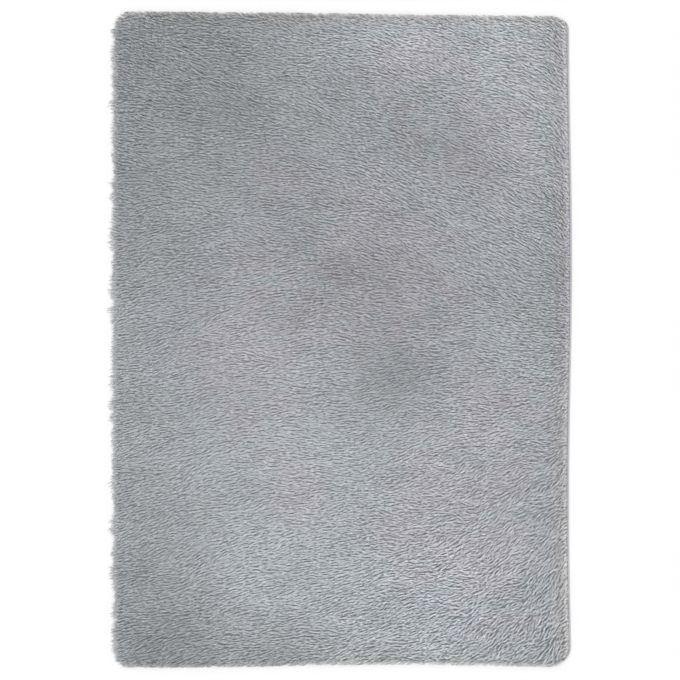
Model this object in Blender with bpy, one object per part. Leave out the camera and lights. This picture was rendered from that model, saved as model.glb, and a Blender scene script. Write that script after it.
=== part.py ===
"""A shag rug lying flat: one pile cloth, brushed towards -X.

X runs across the rug, Y along it and Z up. The origin is under the middle of the rug, on the floor.
The rug is one closed solid. Its underside is flat at z = 0 and its top is lumpy, with lumps that are
drawn out along the nap. Locks reach out past the -X edge and, shorter, past both ends. At the +X edge
the pile leans away and leaves the thin turned hem of the cloth bare.
"""

import math
import random

import bmesh
import bpy
from mathutils import Vector, noise

# Driving dimensions, in metres
CLOTH_WIDTH = 1.390
CLOTH_LENGTH = 1.984
CORNER_RADIUS = 0.044
PILE_HEIGHT = 0.021
ROOT_HEIGHT = 0.010  # top of the pile where the locks leave the edge
HEM_HEIGHT = 0.003
SIDE_LOCK_REACH = 0.021
END_LOCK_REACH = 0.014
LOCK_TIP = 0.0016

# The brushed pile
NAP_TURN = math.radians(17)  # the nap turns this much more towards each end
NAP_MIDDLE = math.radians(-2)
LUMP_LONG = 0.125  # size of a lump along the nap
LUMP_ACROSS = 0.060
LUMP_RISE = 0.0125
SWELL_SIZE = 0.45  # broad, low waves in the pile
SWELL_RISE = 0.0050
ROUGHNESS = 0.0018  # unevenness from point to point

# The locks
HEM_FACING = 0.45  # no lock grows where the edge faces more than this towards +X
LOCK_OUTWARD = 0.75  # how much a lock turns out from the nap, away from the cloth
LOCK_WAIST = 0.50  # place of a lock's bend, as a share of its reach
WAIST_SHARE = 0.62  # width and height there, as a share of the root's
SHORTEST_LOCK = 0.42  # as a share of the longest
CLUMP_SIZE = 0.055  # neighbouring locks turn together over about this length
CLUMP_TURN = math.radians(24)

# The mesh
CELLS_ACROSS = 41
CELLS_ALONG = 58
RIM_STEPS = (0.0, 0.007, 0.020, 0.042)  # distance of the outer mesh lines from the edge
FULL_PILE = 0.075  # distance from the edge where the pile has its full height
PILE_SHARES = (0.0, 0.38, 0.74, 0.94, 1.0)  # share of that height at those distances
HEM_SHARES = (0.0, 0.02, 0.60, 0.90, 1.0)  # the same at the hem, which lies bare
SPLIT_LENGTH = 0.025  # rim edges longer than this carry two locks
ROOT_SHIFT = 0.0038  # the roots are unevenly spaced
SEED = 11

# Slow waves of each edge: amplitude in metres, waves along the edge, phase in radians
EDGE_WAVES = {
    "left": (0.0045, 0.5, 0.00),
    "right": (0.0030, 2.0, -0.57),
    "top": (0.0050, 0.5, 1.57),
    "bottom": (0.0035, 1.2, 0.98),
}

PILE_COLOUR = (0.342, 0.356, 0.381, 1.0)
PILE_ROUGHNESS = 0.95


def clear_scene():
    for thing in list(bpy.data.objects):
        bpy.data.objects.remove(thing, do_unlink=True)


def between(value, places, levels):
    """Level at a place, read along straight lines between known places."""
    for i in range(1, len(places)):
        if value <= places[i]:
            share = (value - places[i - 1]) / (places[i] - places[i - 1])
            return levels[i - 1] + (levels[i] - levels[i - 1]) * share
    return levels[-1]


def mesh_line(index, count, length):
    """Place of a mesh line: narrow cells at the rim and even ones between."""
    last = len(RIM_STEPS) - 1
    nearest = min(index, count - index)
    if nearest <= last:
        inset = RIM_STEPS[nearest]
    else:
        even_cell = (length - 2 * RIM_STEPS[last]) / (count - 2 * last)
        inset = RIM_STEPS[last] + (nearest - last) * even_cell
    return math.copysign(length / 2 - inset, index - count / 2)


def round_corner(x, y):
    """Draws the corners of the rectangle in to quarter circles."""
    across = abs(x) - (CLOTH_WIDTH / 2 - CORNER_RADIUS)
    along = abs(y) - (CLOTH_LENGTH / 2 - CORNER_RADIUS)
    if across <= 0 or along <= 0:
        return x, y
    drawn_across = across * (1 - math.sqrt(1 - (along / CORNER_RADIUS) ** 2 / 2))
    drawn_along = along * (1 - math.sqrt(1 - (across / CORNER_RADIUS) ** 2 / 2))
    return x - math.copysign(drawn_across, x), y - math.copysign(drawn_along, y)


def edge_wave(side, share):
    rise, waves, phase = EDGE_WAVES[side]
    return rise * math.sin(2 * math.pi * waves * share + phase)


def wave_edges(x, y):
    """Moves a point with the slow waves of the edges next to it."""
    across = x / CLOTH_WIDTH + 0.5
    along = y / CLOTH_LENGTH + 0.5
    shift_x = edge_wave("right", along) * across - edge_wave("left", along) * (1 - across)
    shift_y = edge_wave("top", across) * along - edge_wave("bottom", across) * (1 - along)
    return x + shift_x, y + shift_y


def nap_angle(y):
    """How far the brushed pile turns from -X, towards +Y where positive."""
    return NAP_MIDDLE + NAP_TURN * 2 * y / CLOTH_LENGTH


def lumps(x, y):
    """Height of the lumps, which are long in the direction of the nap."""
    turn = nap_angle(y)
    along = x * math.cos(turn) - y * math.sin(turn)
    across = x * math.sin(turn) + y * math.cos(turn)
    lump = noise.noise(Vector((along / LUMP_LONG, across / LUMP_ACROSS, 3.7)))
    swell = noise.noise(Vector((x / SWELL_SIZE, y / SWELL_SIZE, 8.2)))
    return LUMP_RISE * lump + SWELL_RISE * swell


def top_height(x, y):
    """Height of the pile over a point of the flat cloth."""
    places = RIM_STEPS + (FULL_PILE,)
    napped_inset = min(CLOTH_WIDTH / 2 + x, CLOTH_LENGTH / 2 - abs(y))
    hem_inset = CLOTH_WIDTH / 2 - x
    full = PILE_HEIGHT + lumps(x, y)
    pile = ROOT_HEIGHT + (full - ROOT_HEIGHT) * between(napped_inset, places, PILE_SHARES)
    return HEM_HEIGHT + (pile - HEM_HEIGHT) * between(hem_inset, places, HEM_SHARES)


def pile_sheet(bm, rng):
    """The lumpy top of the rug, as a grid drawn to the outline of the cloth."""
    bmesh.ops.create_grid(bm, x_segments=CELLS_ACROSS, y_segments=CELLS_ALONG, size=1.0)
    for vert in bm.verts:
        column = round((vert.co.x + 1) / 2 * CELLS_ACROSS)
        row = round((vert.co.y + 1) / 2 * CELLS_ALONG)
        vert.co.x = mesh_line(column, CELLS_ACROSS, CLOTH_WIDTH)
        vert.co.y = mesh_line(row, CELLS_ALONG, CLOTH_LENGTH)
    split_lock_roots(bm)
    for vert in bm.verts:
        x, y = vert.co.x, vert.co.y
        height = top_height(x, y)
        if vert.is_boundary:
            if abs(x) < CLOTH_WIDTH / 2 - FULL_PILE:
                x += rng.uniform(-ROOT_SHIFT, ROOT_SHIFT)
            if abs(y) < CLOTH_LENGTH / 2 - FULL_PILE:
                y += rng.uniform(-ROOT_SHIFT, ROOT_SHIFT)
        else:
            height += rng.uniform(-ROUGHNESS, ROUGHNESS)
        x, y = wave_edges(*round_corner(x, y))
        vert.co = (x, y, height)


def split_lock_roots(bm):
    """Halves the long rim edges, apart from those of the hem, which carries no locks."""
    hem = CLOTH_WIDTH / 2 - RIM_STEPS[1] / 2
    roots = []
    for edge in bm.edges:
        at_hem = edge.verts[0].co.x > hem and edge.verts[1].co.x > hem
        if edge.is_boundary and not at_hem and edge.calc_length() > SPLIT_LENGTH:
            roots.append(edge)
    bmesh.ops.subdivide_edges(bm, edges=roots, cuts=1)


def close_below(bm):
    """Drops walls from the rim to the floor and closes the flat underside."""
    rim = [edge for edge in bm.edges if edge.is_boundary]
    grown = bmesh.ops.extrude_edge_only(bm, edges=rim)["geom"]
    for item in grown:
        if isinstance(item, bmesh.types.BMVert):
            item.co.z = 0.0
    walls = [item for item in grown if isinstance(item, bmesh.types.BMFace)]
    foot = [edge for edge in bm.edges if edge.is_boundary]
    bmesh.ops.holes_fill(bm, edges=foot, sides=0)
    bmesh.ops.recalc_face_normals(bm, faces=bm.faces)
    return walls


def lock_lean(place, outward, rng):
    """Direction and reach of the lock that grows at a place on the edge."""
    clump = noise.noise(Vector((place.x / CLUMP_SIZE, place.y / CLUMP_SIZE, 1.3)))
    turn = nap_angle(place.y) + CLUMP_TURN * clump
    nap = Vector((-math.cos(turn), math.sin(turn), 0.0))
    facing_nap = max(0.0, -outward.x)
    reach = END_LOCK_REACH + (SIDE_LOCK_REACH - END_LOCK_REACH) * facing_nap
    reach *= rng.uniform(SHORTEST_LOCK, 1.0)
    return (nap + outward * LOCK_OUTWARD).normalized() * reach


def draw_out(bm, face, shift, half_width, height):
    """Extrudes a lock's end face and shapes it, with its lower corners on the floor."""
    foot = face.calc_center_median()
    foot.z = 0.0
    end = bmesh.ops.extrude_discrete_faces(bm, faces=[face])["faces"][0]
    for vert in end.verts:
        side = math.copysign(1.0, (vert.co - foot).dot(half_width))
        level = height if vert.co.z > 0.0 else 0.0
        vert.co = foot + shift + half_width * side + Vector((0.0, 0.0, level))
    return end


def grow_lock(bm, wall, rng):
    """Draws one wall face out into a tapered lock of four sides."""
    outward = Vector((wall.normal.x, wall.normal.y, 0.0)).normalized()
    if outward.x > HEM_FACING:
        return
    along = Vector((-outward.y, outward.x, 0.0))
    middle = wall.calc_center_median()
    half_width = max(abs((vert.co - middle).dot(along)) for vert in wall.verts)
    lean = lock_lean(middle, outward, rng)
    waist_width = along * half_width * WAIST_SHARE
    waist = draw_out(bm, wall, lean * LOCK_WAIST, waist_width, ROOT_HEIGHT * WAIST_SHARE)
    draw_out(bm, waist, lean * (1 - LOCK_WAIST), along * LOCK_TIP / 2, LOCK_TIP)


def centre_on_origin(bm):
    xs = [vert.co.x for vert in bm.verts]
    ys = [vert.co.y for vert in bm.verts]
    shift = Vector((-(min(xs) + max(xs)) / 2, -(min(ys) + max(ys)) / 2, 0.0))
    bmesh.ops.translate(bm, verts=bm.verts, vec=shift)


def pile_material():
    material = bpy.data.materials.new("grey_pile")
    material.use_nodes = True
    shader = material.node_tree.nodes["Principled BSDF"]
    shader.inputs["Base Color"].default_value = PILE_COLOUR
    shader.inputs["Roughness"].default_value = PILE_ROUGHNESS
    shader.inputs["Metallic"].default_value = 0.0
    return material


def make_rug(collection):
    rng = random.Random(SEED)
    bm = bmesh.new()
    pile_sheet(bm, rng)
    for wall in close_below(bm):
        grow_lock(bm, wall, rng)
    bmesh.ops.triangulate(bm, faces=bm.faces, ngon_method="BEAUTY")
    bmesh.ops.recalc_face_normals(bm, faces=bm.faces)
    centre_on_origin(bm)
    mesh = bpy.data.meshes.new("shag_rug")
    bm.to_mesh(mesh)
    bm.free()
    mesh.materials.append(pile_material())
    mesh.shade_smooth()
    collection.objects.link(bpy.data.objects.new("shag_rug", mesh))


def main():
    clear_scene()
    collection = bpy.data.collections.new("ShagRug")
    bpy.context.scene.collection.children.link(collection)
    make_rug(collection)


main()
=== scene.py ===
"""The looks of a light grey shag rug that lies flat, brushed to the left, seen from straight above.

All places are in metres in the frame's own axes: X across the rug, Y along it, Z up out of the pile.
The pile is made on the flat, straight-edged cloth and then moved with the slow waves of its edges.
"""

import math

import bpy
import numpy as np
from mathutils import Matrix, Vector


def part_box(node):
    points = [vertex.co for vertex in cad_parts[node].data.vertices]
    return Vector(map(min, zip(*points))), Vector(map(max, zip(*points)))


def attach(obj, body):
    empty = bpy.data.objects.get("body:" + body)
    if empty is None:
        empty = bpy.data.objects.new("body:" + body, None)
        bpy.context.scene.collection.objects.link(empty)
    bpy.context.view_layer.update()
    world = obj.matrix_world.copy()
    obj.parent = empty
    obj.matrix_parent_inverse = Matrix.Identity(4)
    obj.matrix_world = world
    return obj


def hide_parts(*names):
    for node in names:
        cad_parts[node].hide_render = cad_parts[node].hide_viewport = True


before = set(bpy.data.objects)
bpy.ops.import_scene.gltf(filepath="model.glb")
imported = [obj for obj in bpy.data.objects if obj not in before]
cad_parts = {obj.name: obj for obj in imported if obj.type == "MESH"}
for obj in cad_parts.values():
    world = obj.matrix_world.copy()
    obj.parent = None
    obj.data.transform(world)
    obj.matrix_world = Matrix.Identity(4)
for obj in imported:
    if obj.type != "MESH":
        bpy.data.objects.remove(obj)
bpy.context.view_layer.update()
RUG_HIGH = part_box("shag_rug")[1]

# ---- the cloth

CLOTH_WIDTH = 1.390
CLOTH_LENGTH = 1.988
CLOTH_PLAY = 0.003  # how far the solid's right-hand side is past the straight cloth, for its waves
CLOTH_X = RUG_HIGH.x - CLOTH_PLAY - CLOTH_WIDTH / 2  # the hem is the rug's right-hand side
HALF = np.array([CLOTH_WIDTH / 2, CLOTH_LENGTH / 2])
# Corner radius by the signs of x and y, anticlockwise from the lower right
CORNER_RADII = {(1, -1): 0.055, (1, 1): 0.033, (-1, 1): 0.048, (-1, -1): 0.050}
CORNER_STEPS = 10
SIDE_STEPS = 120
SMALLEST_RADIUS = 0.001  # of a corner, however far inside the edge
# The hem's section from its underside round to the flat cloth: distance from the edge and height
HEM_SECTION = (
    (0.0120, 0.0003),
    (0.0012, 0.0003),
    (0.0000, 0.0011),
    (0.0000, 0.0024),
    (0.0012, 0.0034),
    (0.0110, 0.0036),
    (0.0130, 0.0022),
)
UNDER_RINGS = 2  # rings of the section that belong to its underside
CLOTH_TOP_MAP, CLOTH_UNDER_MAP = (0.0, 0.5), (0.5, 0.5)  # start and share of the bake map's width
# Slow waves of each edge: amplitude, waves along the edge and phase in radians
EDGE_WAVES = {
    "left": (0.0045, 0.5, 0.00),
    "right": (0.0046, 1.35, 2.55),
    "top": (0.0065, 0.5, 1.40),
    "bottom": (0.0045, 1.0, 0.95),
}

# ---- the pile

PILE_HEIGHT = 0.021
EDGE_HEIGHT = 0.010  # of the pile's top, straight above the cloth's edge
HEM_HEIGHT = 0.0040  # the same at the hem
# The rise from those heights to the full one, as a share, by the distance inwards
RIM_INSETS = (-0.022, 0.0, 0.007, 0.020, 0.042, 0.075)
PILE_SHARES = (-0.75, 0.0, 0.38, 0.74, 0.94, 1.0)
HEM_SHARES = (0.0, 0.0, 0.25, 0.70, 0.92, 1.0)
# Lumps of the pile's top: rise, size along and across, and seed of the noise
NAP_LUMPS = (0.0035, 0.10, 0.050, 31)
WIDE_LUMPS = (0.0020, 0.35, 0.35, 32)
# Turn of the long lumps in degrees: at the middle, and how much more it is at the upper end
LUMP_TURN, LUMP_TURN_AT_END = -2, 17

# The pile gets tousled right of and below this place, fully so this far on, and also by the hem
TOUSLED_X, TOUSLED_Y = -0.2, 0.1
TOUSLED_FADE = 0.8
TOUSLED_BY_HEM, TOUSLED_HEM_REACH = 0.8, 0.07

# How uneven the pile is: in the middle, and how much more it is in some places
RUFFLE_MIDDLE = 0.84
RUFFLE_TO_HEM = 0.08
RUFFLE_LOWER_RIGHT, LOWER_RIGHT_X = 1.20, -0.3  # right of this x
RUFFLE_CORNERS = 0.30  # at the two left corners
CORNERS_SIDE, CORNERS_Y = 0.2, 0.4  # left of this share of the half width, and past this y
RUFFLE_BY_HEM, RUFFLE_HEM_INSET, RUFFLE_HEM_REACH = 0.32, 0.032, 0.022
RUFFLE_CALM_SPOT = (-0.25, -0.35, 0.38, 0.30)  # x, y, reach and how much less
RUFFLE_NOISE = (0.35, 0.06, 0.035, 61)  # share, size along X and Y, and seed
# It is calmer along the edges: share that is left, the inset where it grows, and over what distance
CALM_HEM = (0.0, 0.002, 0.016)
CALM_ENDS = (0.35, 0.0, 0.016)
CALM_LEFT = (0.5, -0.015, 0.035)

# How the pile was brushed, place by place: x, y and the turn of the tips from -X towards +Y, degrees
NAP_STROKES = (
    (-0.50, 0.85, 10), (0.00, 0.85, 12), (0.50, 0.85, 15),
    (-0.50, 0.62, 8), (0.10, 0.62, 15), (0.50, 0.62, 14),
    (-0.50, 0.40, -1), (-0.15, 0.40, 3), (0.15, 0.40, 15), (0.45, 0.40, 19),
    (-0.55, 0.20, -8), (-0.15, 0.22, 1), (0.15, 0.24, 17), (0.55, 0.24, 22),
    (-0.50, 0.02, -11), (-0.10, 0.05, -1), (0.25, 0.05, -1), (0.55, 0.05, 2),
    (-0.50, -0.20, -11), (-0.05, -0.20, 2), (0.30, -0.22, -8), (0.60, -0.20, -5),
    (-0.50, -0.45, -18), (-0.10, -0.45, -8), (0.25, -0.45, -10), (0.60, -0.45, -26),
    (-0.50, -0.80, -17), (-0.10, -0.80, -6), (0.25, -0.80, -12), (0.62, -0.80, -34),
)
STROKE_REACH = 0.13
NO_WEIGHT = 1e-9  # keeps the mean of the strokes defined far away from all of them
# Uneven strokes: turn where smooth and more where tousled, degrees, size along X and Y, and seed
NAP_NOISE = ((14, 0, 0.075, 0.055, 21), (8, 18, 0.034, 0.028, 22))
# Beside the hem the tips turn away from its middle: inset, reach, degrees, middle and fade along Y
HEM_FAN = (0.025, 0.035, 24, 0.05, 0.25)
# They turn less right at the hem: share that is left, the inset where it grows, and over what distance
HEM_STRAIGHT = (0.3, 0.0, 0.020)
END_STRAIGHT, END_STRAIGHT_REACH = 0.85, 0.015  # share of the turn that is lost at the two ends

# ---- ridges that the brush left along the nap

RIDGE_STEP = 0.0020  # of the grid that they are made on
RIDGE_MARGIN = 0.04
LAST_STEP = 1.001  # keeps a place inside the last step of the grid
RIDGE_KINDS = ((0.0094, 0.025), (0.0110, 0.018))  # pitch and length where smooth and tousled
RIDGE_SPREAD = 46.0  # of the pitch, in waves per metre
RIDGE_TURN = 10  # degrees between two directions that they are made for
RIDGE_TURNS = 8  # directions to each side
RIDGE_SEED = 3
CREST_SHARE = 0.20  # of the whole ridge that is kept
VALLEY_SHARE, VALLEY_LEVEL = 0.95, -0.45  # of what lies deeper than this level
RIDGE_RISE = 0.0018
# Painted light on the ridges' crests and painted shade in their deepest valleys, added to the strands'
# tone
RIDGE_PAINTED_SHADE = 0.20
RIDGE_PULL = 0.0014  # how far a strand is pulled to the nearest ridge at its belly, and at its tip
TIP_PULL = 1.6 * RIDGE_PULL
SLOPE_STEP = 0.002

# ---- strands

STRAND_SEED = 7
STRAND_PITCH_ALONG = 0.0058  # between two roots along the nap
STRAND_PITCH_ACROSS = 0.0034
STRAND_LENGTH = 0.031
STRAND_WIDTH = 0.0027
BANDS = 5
HEM_COLUMNS, HEM_COLUMNS_WIDTH = 16, 0.050  # more strands beside the hem
HEM_COLUMNS_SHARE = 0.8  # of them that grow in the last of these columns
ROOT_INSET, ROOT_HEM_INSET = 0.002, 0.0040  # least distance of a root from the edge and the hem
# Lowest and highest share by chance, of the length, of the place of the belly, and of the width
LENGTHS = (0.70, 1.15)
BELLIES = (0.5, 0.7)
WIDTHS = (0.8, 1.2)
ROLLS = (-0.5, 0.5)  # lowest and highest turn about its own length, in radians
NAP_SCATTER = np.radians(5)
BOW = 0.0012  # of a strand sideways
# Strands are shorter by the rim and the hem: share, the inset where it grows, and over what distance
SHORT_RIM = (0.80, 0.0, 0.03)
SHORT_HEM = (0.60, 0.0, 0.05)
SHORT_TOUSLED = 0.33
LENGTH_GAIN = 1.04
# Longer and shorter tufts along the left edge: share, size along X and Y, seed and reach
LEFT_TUFTS = (0.40, 0.05, 0.024, 62, 0.03)
SPILL = 0.016  # how far the pile falls outwards over the two ends
SPILL_REACH = 0.012
SPILLS = (0.85, 1.0)  # lowest and highest share of it by chance
SPILL_BELLY = 0.8
SPILL_HEM = (0.1, 0.008, 0.050)  # less of it beside the hem, as with the length
END_LIMIT = 1.001  # how far from the middle that pile stays straight
END_CURL = 0.75  # share of what is past that limit that curls in
SAG, SAG_REACH = 0.6, 0.010  # share of its height that a strand may lose at the rim
CROWN, LOOSE_CROWN = 0.0003, 0.0002  # differences of height by chance, and more where it is ruffled
ROOT_SHARE = 0.92  # height of the roots, as a share of the pile's, where it lies even
ROOT_DROP = 0.07  # how much lower they are where it is ruffled
BELLY_DEPTH, TIP_DEPTH = 0.0008, 0.0004  # under the pile's top
LOWEST_ROOT, LOWEST_BELLY, LOWEST_TIP, LOWEST_SIDE = 0.002, 0.0022, 0.0008, 0.0004
# A strand is a closed spindle: its root, three points round its thickest part and its tip
STRAND_FACES = np.array([(1, 2, 4), (2, 3, 4), (3, 1, 4), (2, 1, 0), (3, 2, 0), (1, 3, 0)])
STRAND_POINTS = 5
ROOT, BELLY, TIP = [0], [1, 2, 3], [4]

# ---- the undercoat

UNDERCOAT_GRID = (140, 200)  # columns and rows
UNDERCOAT_FLOOR = 0.0024
UNDERCOAT_LEAST = 0.0008  # least thickness
UNDERCOAT_RIM = 0.0035  # how far it stays inside the cloth's edge
UNDERCOAT_SHARE = 0.88  # of the pile's height, and less where it is ruffled, as with the roots
UNDERCOAT_FADE = 0.016  # over this distance from its edge it gets to that height
UNDERCOAT_HEM_INSET = 0.005  # it starts to rise this far from the hem
UNDERCOAT_TOP_MAP, UNDERCOAT_UNDER_MAP = (0.0, 0.8), (0.8, 0.2)

# ---- tone and tint of the pile

BASE_TONE = 0.517
PALE_STRANDS, DARK_STRANDS_AND_GAP_SHADE = 0.03, 0.045  # most are a little paler, and a few are much darker: random tone, and painted shade of the gaps between clumps
ROOT_PAINTED_SHADE, TIP_PAINTED_HIGHLIGHT = -0.04, 0.02  # painted shade at the root, which lies deep in the pile, and painted highlight at the tip
TONE_TO_HEM = 0.035
TONE_NOISE = (0.03, 0.16, 0.10, 41)  # share, size along X and Y, and seed
# Painted light on the strands at the hem; paler along the top and past the left edge, and darker in a
# band beside the hem
PAINTED_HEM_LIGHT, PAINTED_HEM_LIGHT_REACH = 0.18, 0.030
DARK_HEM, DARK_HEM_INSET, DARK_HEM_REACH = 0.05, 0.030, 0.018
PALE_TOP, PALE_TOP_INSET, PALE_TOP_REACH = 0.07, 0.085, 0.06
PALE_TOP_X, PALE_TOP_FADE = -0.5, 0.6  # the band along the top starts at this x
PALE_LEFT, PALE_LEFT_REACH = 0.12, 0.012
# Painted light and shade of the nap, where the pile looks darker or lighter: x, y, reach and change of
# tone
PAINTED_NAP_SHADE_SPOTS = (
    (-0.60, 0.80, 0.45, -0.115),
    (0.20, 0.95, 0.14, 0.07),
    (0.24, 0.62, 0.12, -0.06),
    (0.40, 0.59, 0.08, -0.05),
    (0.12, 0.44, 0.12, 0.04),
    (0.05, 0.17, 0.14, -0.07),
    (0.64, 0.20, 0.10, -0.07),
    (-0.40, 0.28, 0.20, 0.02),
    (-0.25, -0.20, 0.25, 0.04),
    (0.17, -0.14, 0.10, -0.12),
    (0.36, -0.33, 0.12, 0.07),
    (-0.15, -0.45, 0.20, 0.04),
    (0.08, -0.85, 0.25, 0.07),
    (-0.32, -0.78, 0.15, 0.07),
    (-0.55, -0.62, 0.10, -0.05),
    (0.50, -0.80, 0.28, 0.21),
    (0.62, 0.80, 0.20, 0.09),
    (0.64, 0.90, 0.05, -0.08),
    (-0.56, -0.98, 0.14, -0.14),
    (-0.22, -0.99, 0.11, -0.12),
)

# A tint of 0 is neutral grey, 0.5 cool grey and 1 lilac grey
NEUTRAL_TINT = 0.05
COOL_TINT = 0.46
LILAC_TINT = 0.50  # added to the cool one
TINT_SCATTER = 0.03
LILAC_GAIN = 1.25
LILAC_NOISE = (1.2, 0.055, 0.045, 51)  # share, size along X and Y, and seed
LILAC_HEM, LILAC_HEM_REACH = 0.9, 0.08
NEUTRAL_LEFT_REACH = 0.014  # past the left edge
NEUTRAL_END_INSET, NEUTRAL_END_REACH = 0.010, 0.020
# Where the pile looks lilac: x, y, reach and how much
LILAC_SPOTS = (
    (0.05, 0.22, 0.14, 1.0),
    (0.18, 0.10, 0.11, 0.8),
    (-0.31, 0.04, 0.15, 0.6),
    (-0.28, -0.20, 0.10, 0.5),
    (-0.15, -0.47, 0.07, 0.7),
    (0.33, -0.55, 0.15, 1.0),
    (0.48, -0.24, 0.11, 0.7),
    (0.50, -0.75, 0.12, 0.5),
    (0.20, 0.86, 0.10, 0.5),
    (0.42, 0.66, 0.22, 0.5),
    (-0.20, 0.50, 0.06, 0.6),
)
# Strands beside the hem that are neutral grey: share and reach, at its lower half and all along it
NEUTRAL_LOWER, NEUTRAL_LOWER_REACH = 0.85, 0.045
NEUTRAL_HEM, NEUTRAL_HEM_REACH = 0.45, 0.06
LOWER_MIDDLE, LOWER_FADE = 0.5, 0.9  # half of the lower share at the middle, and its slope from there
FULL_LOWER, FULL_HEM = 1.6, 1.3  # 1 more than the part of the reach over which a share stays full

# ---- colours and stage

NEUTRAL_COLOUR = (1.00, 0.99, 0.98, 1)
COOL_COLOUR = (0.886, 0.945, 1.00, 1)
LILAC_COLOUR = (0.945, 0.918, 1.00, 1)
DARKEST, LIGHTEST = 0.08, 0.92  # of the strands' colour, at a shade of 0 and of 1
PALETTE_LOW, PALETTE_HIGH = 0.002, 0.998  # keeps the strands' places inside the bake map
FIBRE_SHEEN_ROUGHNESS, FIBRE_SPECULAR = 0.5, 0.3
# Woven looks: dark colour, pale colour, scale of the grain and its stretch along X, Y and Z
HEM_CLOTH = ((0.34, 0.33, 0.34), (0.42, 0.41, 0.42), 900, (1, 1, 1))
# The undercoat's colours are darker than the strands': partly its own colour, partly painted shade of
# the gaps between the strands
UNDERCOAT_FIBRE_AND_GAP_SHADE = ((0.16, 0.17, 0.185), (0.24, 0.255, 0.275), 120, (0.35, 1.4, 1))
GRAIN_DARK, GRAIN_PALE = 0.35, 0.65
GRAIN_BUMP = 0.001

FLOOR_SIZE = 60
FLOOR_COLOUR = (0.665, 0.665, 0.665, 1)
SKY_COLOUR = (1, 1, 1, 1)
SKY_STRENGTH = 1.28
KEY_STRENGTH = 0.9
KEY_SOFTNESS = math.radians(35)
KEY_FROM = (0.65, 0.05, 1.0)
PHOTO_SIZE = 680
METRES_PER_PIXEL = 0.003063
CAMERA_X = -0.0025
LENS = 85.0
SENSOR = 36.0


# ---- fields over the flat cloth

NOISE_GRID = 256


def ease(value):
    """From 0 at 0 to 1 at 1 with soft ends."""
    value = np.clip(value, 0, 1)
    return value * value * (3 - 2 * value)


def fade_in(distance, least, start, reach):
    """From the least share at the start to 1 over this reach."""
    return least + (1 - least) * ease((distance - start) / reach)


def bell(distance, reach):
    return np.exp(-((distance / reach) ** 2))


def spot(x, y, spot_x, spot_y, reach):
    return np.exp(-((x - spot_x) ** 2 + (y - spot_y) ** 2) / (2 * reach**2))


def read_grid(grid, u, v, soft=False):
    """Values between the points of a grid, which repeats past its ends."""
    i, j = np.floor(u).astype(int), np.floor(v).astype(int)
    a, b = u - i, v - j
    if soft:
        a, b = ease(a), ease(b)
    count_i, count_j = grid.shape
    next_i, next_j = (i + 1) % count_i, (j + 1) % count_j
    i, j = i % count_i, j % count_j
    low = grid[i, j] * (1 - a) + grid[next_i, j] * a
    high = grid[i, next_j] * (1 - a) + grid[next_i, next_j] * a
    return low * (1 - b) + high * b


def noise(x, y, size_x, size_y, seed):
    """Smooth noise from -1 to 1 with features of the given sizes."""
    grid = np.random.default_rng(seed).uniform(-1, 1, (NOISE_GRID, NOISE_GRID))
    return read_grid(grid, x / size_x, y / size_y, soft=True)


def edge_wave(side, share):
    rise, waves, phase = EDGE_WAVES[side]
    return rise * np.sin(2 * math.pi * waves * share + phase)


def wave_edges(x, y):
    """Moves points of the flat cloth with the slow waves of its edges, and into the frame."""
    across, along = x / CLOTH_WIDTH + 0.5, y / CLOTH_LENGTH + 0.5
    shift_x = edge_wave("right", along) * across - edge_wave("left", along) * (1 - across)
    shift_y = edge_wave("top", across) * along - edge_wave("bottom", across) * (1 - along)
    return x + shift_x + CLOTH_X, y + shift_y


def inset(x, y):
    """Distance inwards from the round-cornered edge of the flat cloth."""
    radius = np.zeros_like(x)
    for (side, end), corner in CORNER_RADII.items():
        radius = np.where((x * side >= 0) & (y * end >= 0), corner, radius)
    over_x = np.abs(x) - HALF[0] + radius
    over_y = np.abs(y) - HALF[1] + radius
    outside = np.hypot(np.maximum(over_x, 0), np.maximum(over_y, 0))
    return radius - outside - np.minimum(np.maximum(over_x, over_y), 0)


def from_hem(x):
    return HALF[0] - x


def from_left(x):
    return HALF[0] + x


def from_end(y):
    return HALF[1] - np.abs(y)


def from_top(y):
    return HALF[1] - y


def rough(x, y):
    """0 where the pile lies smooth, and 1 where it is tousled, at the lower right and by the hem."""
    lower_right = ease((x - TOUSLED_X) / TOUSLED_FADE) * ease((TOUSLED_Y - y) / TOUSLED_FADE)
    return np.maximum(lower_right, TOUSLED_BY_HEM * bell(from_hem(x), TOUSLED_HEM_REACH))


def nap_turn(x, y):
    """Turn of the tips from -X towards +Y, in radians."""
    weights, turns = NO_WEIGHT, 0.0
    for stroke_x, stroke_y, degrees in NAP_STROKES:
        weight = spot(x, y, stroke_x, stroke_y, STROKE_REACH)
        weights, turns = weights + weight, turns + weight * degrees
    turn = np.radians(turns / weights)
    fan_inset, fan_reach, degrees, middle, fade = HEM_FAN
    by_hem = bell(from_hem(x) - fan_inset, fan_reach)
    turn = turn + by_hem * np.radians(degrees) * np.tanh((y - middle) / fade)
    for smooth, tousled, size_x, size_y, seed in NAP_NOISE:
        sway = np.radians(smooth + tousled * rough(x, y))
        turn = turn + sway * noise(x, y, size_x, size_y, seed)
    turn = turn * fade_in(from_hem(x), *HEM_STRAIGHT)
    return turn * (1 - END_STRAIGHT * np.exp(-from_end(y) / END_STRAIGHT_REACH))


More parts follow.
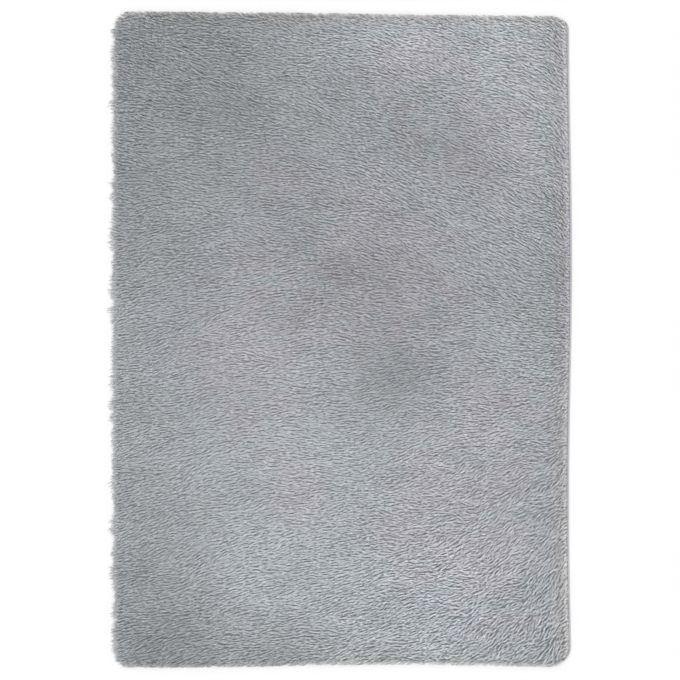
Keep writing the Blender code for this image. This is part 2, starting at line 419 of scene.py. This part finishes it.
def make_ridges():
    """Wavy ridges along the nap on a grid over the cloth: noise kept to one pitch across the nap."""
    columns, rows = np.ceil((2 * HALF + 2 * RIDGE_MARGIN) / RIDGE_STEP).astype(int)
    x, y = np.meshgrid(np.arange(columns) * RIDGE_STEP, np.arange(rows) * RIDGE_STEP)
    x, y = x - HALF[0] - RIDGE_MARGIN, y - HALF[1] - RIDGE_MARGIN
    turn = nap_turn(x, y)
    tousled = rough(x, y)
    wave_x = np.fft.fftfreq(columns, RIDGE_STEP)[None, :]
    wave_y = np.fft.fftfreq(rows, RIDGE_STEP)[:, None]
    waves = np.fft.fft2(np.random.default_rng(RIDGE_SEED).normal(size=x.shape))
    ridges = np.zeros_like(x)
    gap = np.radians(RIDGE_TURN)
    for angle in np.arange(-RIDGE_TURNS, RIDGE_TURNS + 1) * gap:
        along = wave_y * np.sin(angle) - wave_x * np.cos(angle)
        across = np.abs(wave_y * np.cos(angle) + wave_x * np.sin(angle))
        here = np.clip(1 - np.abs(turn - angle) / gap, 0, 1)
        for (pitch, length), share in zip(RIDGE_KINDS, (1 - tousled, tousled)):
            keep = np.exp(-(((across - 1 / pitch) / RIDGE_SPREAD) ** 2) / 2)
            keep = keep * np.exp(-((along * length) ** 2) / 2)
            layer = np.fft.ifft2(waves * keep).real
            ridges += layer / layer.std() * here * share
    return ridges


RIDGES = make_ridges()


def ridge_at(x, y):
    """The ridges, read between the points of their grid."""
    rows, columns = RIDGES.shape
    u = np.clip((x + HALF[0] + RIDGE_MARGIN) / RIDGE_STEP, 0, columns - LAST_STEP)
    v = np.clip((y + HALF[1] + RIDGE_MARGIN) / RIDGE_STEP, 0, rows - LAST_STEP)
    return read_grid(RIDGES.T, u, v)


def crest(ridge):
    """The ridges made low, with only their deepest valleys kept, which are few and narrow."""
    return CREST_SHARE * ridge + VALLEY_SHARE * np.minimum(ridge - VALLEY_LEVEL, 0)


def ruffle(x, y):
    """How uneven the pile is: least at the left and along the edges, most at the lower right."""
    lower_right = ease(x - LOWER_RIGHT_X) * ease(-y) ** 2
    corners = ease(CORNERS_SIDE - x / HALF[0]) * ease(2 * (np.abs(y) - CORNERS_Y))
    by_hem = bell(from_hem(x) - RUFFLE_HEM_INSET, RUFFLE_HEM_REACH)
    calm_x, calm_y, calm_reach, calm = RUFFLE_CALM_SPOT
    calm_spot = bell(np.hypot(x - calm_x, y - calm_y), calm_reach)
    loose = RUFFLE_MIDDLE + RUFFLE_TO_HEM * x / HALF[0] + RUFFLE_LOWER_RIGHT * lower_right
    loose = loose + RUFFLE_CORNERS * corners + RUFFLE_BY_HEM * by_hem - calm * calm_spot
    share, *texture = RUFFLE_NOISE
    loose = loose * (1 + share * noise(x, y, *texture))
    along_ends = fade_in(from_end(y), *CALM_ENDS)
    return loose * fade_in(from_hem(x), *CALM_HEM) * along_ends * fade_in(from_left(x), *CALM_LEFT)


def lumps(x, y):
    """Rise and fall of the pile's top: long lumps that follow the nap, and wide ones."""
    turn = np.radians(LUMP_TURN + LUMP_TURN_AT_END * y / HALF[1])
    along = x * np.cos(turn) - y * np.sin(turn)
    across = x * np.sin(turn) + y * np.cos(turn)
    rise, *texture = NAP_LUMPS
    wide_rise, *wide_texture = WIDE_LUMPS
    return rise * noise(along, across, *texture) + wide_rise * noise(x, y, *wide_texture)


def pile_top(x, y):
    """Height of the brushed pile over a point of the flat cloth, and a little past its edge."""
    full = PILE_HEIGHT + lumps(x, y)
    pile = EDGE_HEIGHT + (full - EDGE_HEIGHT) * np.interp(inset(x, y), RIM_INSETS, PILE_SHARES)
    return HEM_HEIGHT + (pile - HEM_HEIGHT) * np.interp(from_hem(x), RIM_INSETS, HEM_SHARES)


def tone_at(x, y):
    """Slow changes of tone over the rug, with painted light and shade of the nap in spots and painted
    light on the strands at the hem.
    """
    share, *texture = TONE_NOISE
    tone = TONE_TO_HEM * x / HALF[0] + share * noise(x, y, *texture)
    # painted light and shade of the nap
    for spot_x, spot_y, reach, change in PAINTED_NAP_SHADE_SPOTS:
        tone = tone + change * spot(x, y, spot_x, spot_y, reach)
    # painted light on the strands at the hem
    tone = tone + PAINTED_HEM_LIGHT * ease(1 - from_hem(x) / PAINTED_HEM_LIGHT_REACH)
    tone = tone - DARK_HEM * bell(from_hem(x) - DARK_HEM_INSET, DARK_HEM_REACH) * (1 + ease(-y))
    top_band = bell(from_top(y) - PALE_TOP_INSET, PALE_TOP_REACH)
    tone = tone + PALE_TOP * top_band * ease((x - PALE_TOP_X) / PALE_TOP_FADE)
    return tone + PALE_LEFT * ease(-from_left(x) / PALE_LEFT_REACH)


def tint_at(x, y):
    """Neutral where the pile falls over an edge, lilac in spots and by the hem, and else cool."""
    lilac = np.zeros_like(x)
    for spot_x, spot_y, reach, much in LILAC_SPOTS:
        lilac = lilac + much * spot(x, y, spot_x, spot_y, reach)
    share, *texture = LILAC_NOISE
    lilac = ease(LILAC_GAIN * lilac * (1 + share * noise(x, y, *texture)))
    lilac = np.maximum(lilac, LILAC_HEM * ease(FULL_HEM - from_hem(x) / LILAC_HEM_REACH))
    past_left = ease(-from_left(x) / NEUTRAL_LEFT_REACH)
    over_end = ease(1 - (from_end(y) - NEUTRAL_END_INSET) / NEUTRAL_END_REACH)
    rim = np.maximum(past_left, over_end)
    return (COOL_TINT + LILAC_TINT * lilac) * (1 - rim) + NEUTRAL_TINT * rim


def neutral_share(x, y):
    """Share of the strands beside the hem that are neutral grey, most of them at its lower half."""
    lower_half = ease(LOWER_MIDDLE - LOWER_FADE * y / HALF[1])
    lower = NEUTRAL_LOWER * ease(FULL_LOWER - from_hem(x) / NEUTRAL_LOWER_REACH) * lower_half
    return np.maximum(lower, NEUTRAL_HEM * ease(FULL_HEM - from_hem(x) / NEUTRAL_HEM_REACH))


# ---- pieces


def new_piece(name, mesh, material):
    mesh.materials.append(material)
    piece = bpy.data.objects.new(name, mesh)
    bpy.context.scene.collection.objects.link(piece)
    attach(piece, "root")
    return piece


def add_bake_map(mesh, points):
    """A map over the whole piece, one place for each point of the mesh."""
    corners = np.empty(len(mesh.loops), np.int32)
    mesh.loops.foreach_get("vertex_index", corners)
    layer = mesh.uv_layers.new(name="OFBake")
    layer.uv.foreach_set("vector", points[corners].astype(np.float32).ravel())


def flat_map(points, start, share, margin=0.01):
    """Places of a flat view of the cloth on part of the map's width."""
    across = (points[:, 0] - CLOTH_X) / CLOTH_WIDTH + 0.5
    along = points[:, 1] / CLOTH_LENGTH + 0.5
    size = 1 - 2 * margin
    return np.stack([start + share * (margin + size * across), margin + size * along], 1)


def ring(inset_by, height):
    """Points round the cloth, anticlockwise, at one distance from its edge."""
    corners = []
    for turn, ((side, end), radius) in enumerate(CORNER_RADII.items()):
        angles = (turn - 1 + np.linspace(0, 1, CORNER_STEPS + 1)) * math.pi / 2
        centre = np.array([side, end]) * (HALF - radius)
        reach = max(radius - inset_by, SMALLEST_RADIUS)
        corners.append(centre + reach * np.stack([np.cos(angles), np.sin(angles)], 1))
    points = []
    for corner, following in zip(corners, corners[1:] + corners[:1]):
        share = np.linspace(0, 1, SIDE_STEPS + 1)[1:-1, None]
        points += [corner, corner[-1] * (1 - share) + following[0] * share]
    flat = np.concatenate(points)
    x, y = wave_edges(flat[:, 0], flat[:, 1])
    return np.stack([x, y, np.full(len(x), height)], 1)


def make_cloth(material):
    """The thin backing cloth with its turned hem, closed by one flat face above and one below."""
    rings = [ring(inset_by, height) for inset_by, height in HEM_SECTION]
    count = len(rings[0])
    faces = [tuple(reversed(range(count)))]
    for level in range(len(rings) - 1):
        low, high = level * count, (level + 1) * count
        for i in range(count):
            j = (i + 1) % count
            faces.append((low + i, low + j, high + j, high + i))
    faces.append(tuple(range((len(rings) - 1) * count, len(rings) * count)))
    points = np.concatenate(rings)
    mesh = bpy.data.meshes.new("pile_cloth")
    mesh.from_pydata(points.tolist(), [], faces)
    under = (np.arange(len(points)) < UNDER_RINGS * count)[:, None]
    top_places, under_places = flat_map(points, *CLOTH_TOP_MAP), flat_map(points, *CLOTH_UNDER_MAP)
    add_bake_map(mesh, np.where(under, under_places, top_places))
    mesh.shade_smooth()
    return new_piece("pile_cloth", mesh, material)


def undercoat_grid():
    """A grid over the cloth, drawn in at its round corners."""
    columns, rows = UNDERCOAT_GRID
    u, v = np.meshgrid(np.linspace(-1, 1, columns + 1), np.linspace(-1, 1, rows + 1))
    x, y = u * (HALF[0] - UNDERCOAT_RIM), v * (HALF[1] - UNDERCOAT_RIM)
    for (side, end), radius in CORNER_RADII.items():
        over_x = np.maximum(x * side - (HALF[0] - radius), 0) / radius
        over_y = np.maximum(y * end - (HALF[1] - radius), 0) / radius
        x = x - side * radius * over_x * (1 - np.sqrt(1 - over_y**2 / 2))
        y = y - end * radius * over_y * (1 - np.sqrt(1 - over_x**2 / 2))
    return x, y


def make_undercoat(material):
    """The dense short fibres under the strands: a lumpy top on the cloth, with a flat underside."""
    x, y = undercoat_grid()
    edge = np.minimum(inset(x, y), from_hem(x) - UNDERCOAT_HEM_INSET)
    height = pile_top(x, y) * (UNDERCOAT_SHARE - ROOT_DROP * ruffle(x, y)) - UNDERCOAT_FLOOR
    rise = np.maximum(height * ease(edge / UNDERCOAT_FADE), UNDERCOAT_LEAST)
    x, y = wave_edges(x, y)
    top = np.stack([x, y, UNDERCOAT_FLOOR + rise], -1).reshape(-1, 3)
    index = np.arange(x.size).reshape(x.shape)
    quads = np.stack([index[:-1, :-1], index[:-1, 1:], index[1:, 1:], index[1:, :-1]], -1)
    loop = [*index[0, :-1], *index[:-1, -1], *index[-1, :0:-1], *index[:0:-1, 0]]
    under = top[loop]
    under[:, 2] = UNDERCOAT_FLOOR
    faces = quads.reshape(-1, 4).tolist()
    first = len(top)
    for i, start in enumerate(loop):
        j = (i + 1) % len(loop)
        faces.append((loop[j], start, first + i, first + j))
    faces.append(tuple(reversed(range(first, first + len(loop)))))
    points = np.concatenate([top, under])
    mesh = bpy.data.meshes.new("undercoat")
    mesh.from_pydata(points.tolist(), [], faces)
    top_places, under_places = flat_map(top, *UNDERCOAT_TOP_MAP), flat_map(under, *UNDERCOAT_UNDER_MAP)
    add_bake_map(mesh, np.concatenate([top_places, under_places]))
    mesh.shade_smooth()
    return new_piece("undercoat", mesh, material)


# ---- the strands' growth


def strand_roots(rng):
    """Where the strands grow on the flat cloth: a shaken grid, denser beside the hem but off it."""
    even = np.arange(-HALF[0], HALF[0], STRAND_PITCH_ALONG)
    beside_hem = np.linspace(HALF[0] - HEM_COLUMNS_WIDTH, HALF[0], HEM_COLUMNS)
    shares = np.linspace(0, HEM_COLUMNS_SHARE, HEM_COLUMNS)
    rows = np.arange(-HALF[1], HALF[1], STRAND_PITCH_ACROSS)
    x, y = np.meshgrid(np.concatenate([even, beside_hem]), rows)
    chosen = rng.uniform(size=x.shape) < np.concatenate([np.ones(len(even)), shares])
    x = (x + rng.uniform(-0.5, 0.5, x.shape) * STRAND_PITCH_ALONG).ravel()
    y = (y + rng.uniform(-0.5, 0.5, y.shape) * STRAND_PITCH_ACROSS).ravel()
    grows = chosen.ravel() & (inset(x, y) > ROOT_INSET) & (from_hem(x) > ROOT_HEM_INSET)
    return x[grows], y[grows]


def strand_reach(x, y, edge, tousled, rng):
    """How far each strand reaches from its root to its tip."""
    reach = STRAND_LENGTH * rng.uniform(*LENGTHS, len(x)) * fade_in(edge, *SHORT_RIM)
    reach = reach * fade_in(from_hem(x), *SHORT_HEM) * (1 - SHORT_TOUSLED * tousled)
    share, size_x, size_y, seed, tuft_reach = LEFT_TUFTS
    tufts = noise(x, y, size_x, size_y, seed) * ease(1 - from_left(x) / tuft_reach)
    return reach * (LENGTH_GAIN + share * tufts)


def pull_to_ridge(points, sideways, pull):
    """Moves points across the nap towards the nearest ridge."""
    step = sideways * SLOPE_STEP
    slope = ridge_at(*(points + step).T) - ridge_at(*(points - step).T)
    return points + sideways * (pull * np.tanh(slope))[:, None]


def spill_over_end(points, spill):
    """Lets the pile fall outwards over the two ends, and curls in what would stick out."""
    y = points[:, 1] + spill
    over = np.maximum(np.abs(y) - END_LIMIT, 0)
    return np.stack([points[:, 0], y - np.sign(y) * END_CURL * over], 1)


def spindles(root, belly, tip, sideways, rng):
    """The points of closed spindles through the given roots, thickest parts and tips."""
    count = len(root)
    points = np.empty((count, STRAND_POINTS, 3))
    points[:, 0], points[:, -1] = root, tip
    width = STRAND_WIDTH * rng.uniform(*WIDTHS, count)
    roll = rng.uniform(*ROLLS, count) + math.pi / 2
    for i, corner in enumerate(BELLY):
        angle = roll + i * 2 * math.pi / len(BELLY)
        across = sideways * (np.cos(angle) * width / 2)[:, None]
        height = np.maximum(belly[:, 2] + np.sin(angle) * width / 2, LOWEST_SIDE)
        points[:, corner] = np.column_stack([belly[:, :2] + across, height])
    points[:, :, 0], points[:, :, 1] = wave_edges(points[:, :, 0], points[:, :, 1])
    return points


def grow_strands(rng):
    """Five points, a shade and a tint for every strand."""
    x, y = strand_roots(rng)
    count = len(x)
    loose, tousled = ruffle(x, y), rough(x, y)
    edge = inset(x, y)
    turn = nap_turn(x, y) + rng.normal(0, NAP_SCATTER, count)
    forward = np.stack([-np.cos(turn), np.sin(turn)], 1)
    sideways = np.stack([-forward[:, 1], forward[:, 0]], 1)
    reach = strand_reach(x, y, edge, tousled, rng)
    middle = reach * rng.uniform(*BELLIES, count)
    bow = rng.normal(0, BOW, count) * (1 + tousled)
    spill = np.sign(y) * SPILL * np.exp(-from_end(y) / SPILL_REACH) * rng.uniform(*SPILLS, count)
    spill = spill * fade_in(from_hem(x), *SPILL_HEM)

    root = np.stack([x, y], 1)
    belly = root + forward * middle[:, None] + sideways * bow[:, None]
    belly = spill_over_end(pull_to_ridge(belly, sideways, RIDGE_PULL), SPILL_BELLY * spill)
    tip = root + forward * reach[:, None] + sideways * bow[:, None] / 2
    tip = spill_over_end(pull_to_ridge(tip, sideways, TIP_PULL), spill)

    sag = 1 - rng.uniform(0, SAG, count) * ease(1 - edge / SAG_REACH)
    crown = rng.uniform(-CROWN, CROWN, count) + rng.normal(0, LOOSE_CROWN, count) * loose
    ridges = [crest(ridge_at(*place.T)) for place in (root, belly, tip)]
    root_z = pile_top(*root.T) * (ROOT_SHARE - ROOT_DROP * loose)
    belly_z = pile_top(*belly.T) - BELLY_DEPTH + crown + RIDGE_RISE * loose * ridges[1]
    tip_z = pile_top(*tip.T) - TIP_DEPTH + crown + RIDGE_RISE * loose * ridges[2]
    heights = ((root_z, LOWEST_ROOT), (belly_z, LOWEST_BELLY), (tip_z, LOWEST_TIP))
    solid = [
        np.column_stack([place, np.maximum(z * sag, lowest)])
        for place, (z, lowest) in zip((root, belly, tip), heights)
    ]
    points = spindles(*solid, sideways, rng)

    # random tone of each strand, with a few much darker ones as painted shade of the gaps between
    # clumps
    own_tone_and_shade = BASE_TONE + PALE_STRANDS - rng.exponential(DARK_STRANDS_AND_GAP_SHADE, count) * loose
    own_tint = rng.normal(0, TINT_SCATTER, count)
    neutral = rng.uniform(size=count) < neutral_share(x, y)
    shade, tint = np.empty((count, STRAND_POINTS)), np.empty((count, STRAND_POINTS))
    # painted shade at the roots, which lie deep in the pile, and painted highlights at the tips
    parts = ((root, ROOT, ROOT_PAINTED_SHADE), (belly, BELLY, 0.0), (tip, TIP, TIP_PAINTED_HIGHLIGHT))
    for (place, corners, change), ridge in zip(parts, ridges):
        # painted light on the ridges and painted shade in their valleys
        tone = own_tone_and_shade + change + tone_at(*place.T) + RIDGE_PAINTED_SHADE * loose * ridge
        shade[:, corners] = tone[:, None]
        place_tint = np.where(neutral, NEUTRAL_TINT, tint_at(*place.T))
        tint[:, corners] = (own_tint + place_tint)[:, None]
    return points, shade, tint


def strand_mesh(name, points, shade, tint):
    """One joined mesh of many strands, with the shade and tint of each point."""
    corners = points.reshape(-1, 3).astype(np.float32)
    first = STRAND_POINTS * np.arange(len(points))[:, None, None]
    faces = (STRAND_FACES + first).reshape(-1, 3)
    mesh = bpy.data.meshes.new(name)
    mesh.vertices.add(len(corners))
    mesh.vertices.foreach_set("co", corners.ravel())
    mesh.loops.add(faces.size)
    mesh.loops.foreach_set("vertex_index", faces.astype(np.int32).ravel())
    mesh.polygons.add(len(faces))
    mesh.polygons.foreach_set("loop_start", np.arange(0, faces.size, 3, dtype=np.int32))
    mesh.update(calc_edges=True)
    palette = np.stack([shade.ravel(), tint.ravel()], 1)
    for column, attribute_name in enumerate(("shade", "tint")):
        attribute = mesh.attributes.new(attribute_name, "FLOAT", "POINT")
        attribute.data.foreach_set("value", palette[:, column].astype(np.float32))
    add_bake_map(mesh, np.clip(palette, PALETTE_LOW, PALETTE_HIGH))
    mesh.shade_smooth()
    return mesh


def make_strands(material):
    """The strands in bands along the rug, one piece for each band."""
    points, shade, tint = grow_strands(np.random.default_rng(STRAND_SEED))
    order = np.argsort(points[:, 0, 1])
    pieces = []
    for i, part in enumerate(np.array_split(order, BANDS)):
        name = f"strands_{i + 1}"
        mesh = strand_mesh(name, points[part], shade[part], tint[part])
        pieces.append(new_piece(name, mesh, material))
    print("strands", len(points), "triangles", len(STRAND_FACES) * len(points))
    return pieces


# ---- materials


def new_material(name, roughness, sheen):
    material = bpy.data.materials.new(name)
    material.use_nodes = True
    shader = material.node_tree.nodes["Principled BSDF"]
    shader.inputs["Roughness"].default_value = roughness
    shader.inputs["Sheen Weight"].default_value = sheen
    shader.inputs["Sheen Roughness"].default_value = FIBRE_SHEEN_ROUGHNESS
    shader.inputs["Specular IOR Level"].default_value = FIBRE_SPECULAR
    return material, material.node_tree.nodes, material.node_tree.links, shader


def strand_material():
    """Long soft fibres: the colour follows each strand's shade and tint."""
    material, nodes, links, shader = new_material("shag_strands", roughness=0.85, sheen=0.2)
    tint = nodes.new("ShaderNodeAttribute")
    tint.attribute_name = "tint"
    shade = nodes.new("ShaderNodeAttribute")
    shade.attribute_name = "shade"
    hue = nodes.new("ShaderNodeValToRGB")
    hue.color_ramp.elements[0].color = NEUTRAL_COLOUR
    hue.color_ramp.elements[1].color = LILAC_COLOUR
    hue.color_ramp.elements.new(0.5).color = COOL_COLOUR
    light = nodes.new("ShaderNodeMapRange")
    light.inputs["To Min"].default_value = DARKEST
    light.inputs["To Max"].default_value = LIGHTEST
    product = nodes.new("ShaderNodeMix")
    product.data_type = "RGBA"
    product.blend_type = "MULTIPLY"
    product.inputs["Factor"].default_value = 1.0
    links.new(tint.outputs["Fac"], hue.inputs["Fac"])
    links.new(shade.outputs["Fac"], light.inputs["Value"])
    links.new(hue.outputs["Color"], product.inputs[6])  # the colours A and B, and their result
    links.new(light.outputs["Result"], product.inputs[7])
    links.new(product.outputs[2], shader.inputs["Base Color"])
    return material


def woven_material(name, dark, pale, scale, stretch):
    """Short matt fibres with a fine grain."""
    material, nodes, links, shader = new_material(name, roughness=0.95, sheen=0.1)
    place = nodes.new("ShaderNodeTexCoord")
    mapping = nodes.new("ShaderNodeMapping")
    mapping.inputs["Scale"].default_value = stretch
    grain = nodes.new("ShaderNodeTexNoise")
    grain.inputs["Scale"].default_value = scale
    ramp = nodes.new("ShaderNodeValToRGB")
    stops = ((GRAIN_DARK, dark), (GRAIN_PALE, pale))
    for element, (position, colour) in zip(ramp.color_ramp.elements, stops):
        element.position = position
        element.color = (*colour, 1)
    bump = nodes.new("ShaderNodeBump")
    bump.inputs["Distance"].default_value = GRAIN_BUMP
    links.new(place.outputs["Object"], mapping.inputs["Vector"])
    links.new(mapping.outputs["Vector"], grain.inputs["Vector"])
    links.new(grain.outputs["Fac"], ramp.inputs["Fac"])
    links.new(grain.outputs["Fac"], bump.inputs["Height"])
    links.new(ramp.outputs["Color"], shader.inputs["Base Color"])
    links.new(bump.outputs["Normal"], shader.inputs["Normal"])
    return material


# ---- stage


def make_floor():
    bpy.ops.mesh.primitive_plane_add(size=FLOOR_SIZE)
    floor = bpy.context.object
    floor.name = "floor"
    material = bpy.data.materials.new("pale_floor")
    material.use_nodes = True
    shader = material.node_tree.nodes["Principled BSDF"]
    shader.inputs["Base Color"].default_value = FLOOR_COLOUR
    shader.inputs["Roughness"].default_value = 0.9
    shader.inputs["Specular IOR Level"].default_value = 0.1
    floor.data.materials.append(material)


def make_lights():
    world = bpy.data.worlds.new("studio")
    bpy.context.scene.world = world
    world.use_nodes = True
    back = world.node_tree.nodes["Background"]
    back.inputs["Color"].default_value = SKY_COLOUR
    back.inputs["Strength"].default_value = SKY_STRENGTH

    data = bpy.data.lights.new("key", "SUN")
    data.energy = KEY_STRENGTH
    data.angle = KEY_SOFTNESS
    key = bpy.data.objects.new("key", data)
    key.rotation_euler = Vector(KEY_FROM).to_track_quat("Z", "Y").to_euler()
    bpy.context.scene.collection.objects.link(key)


def make_camera():
    """Straight above, at the height where the rug fills the frame as in the photo."""
    data = bpy.data.cameras.new("camera")
    data.lens, data.sensor_width = LENS, SENSOR
    camera = bpy.data.objects.new("camera", data)
    distance = PHOTO_SIZE * METRES_PER_PIXEL * LENS / SENSOR
    camera.location = (CAMERA_X, 0.0, PILE_HEIGHT + distance)
    bpy.context.scene.collection.objects.link(camera)
    bpy.context.scene.camera = camera
    bpy.context.scene.view_settings.view_transform = "Standard"


def main():
    cloth = make_cloth(woven_material("hem_cloth", *HEM_CLOTH))
    undercoat = make_undercoat(woven_material("undercoat", *UNDERCOAT_FIBRE_AND_GAP_SHADE))
    strands = make_strands(strand_material())
    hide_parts("shag_rug")
    make_floor()
    make_lights()
    make_camera()


main()
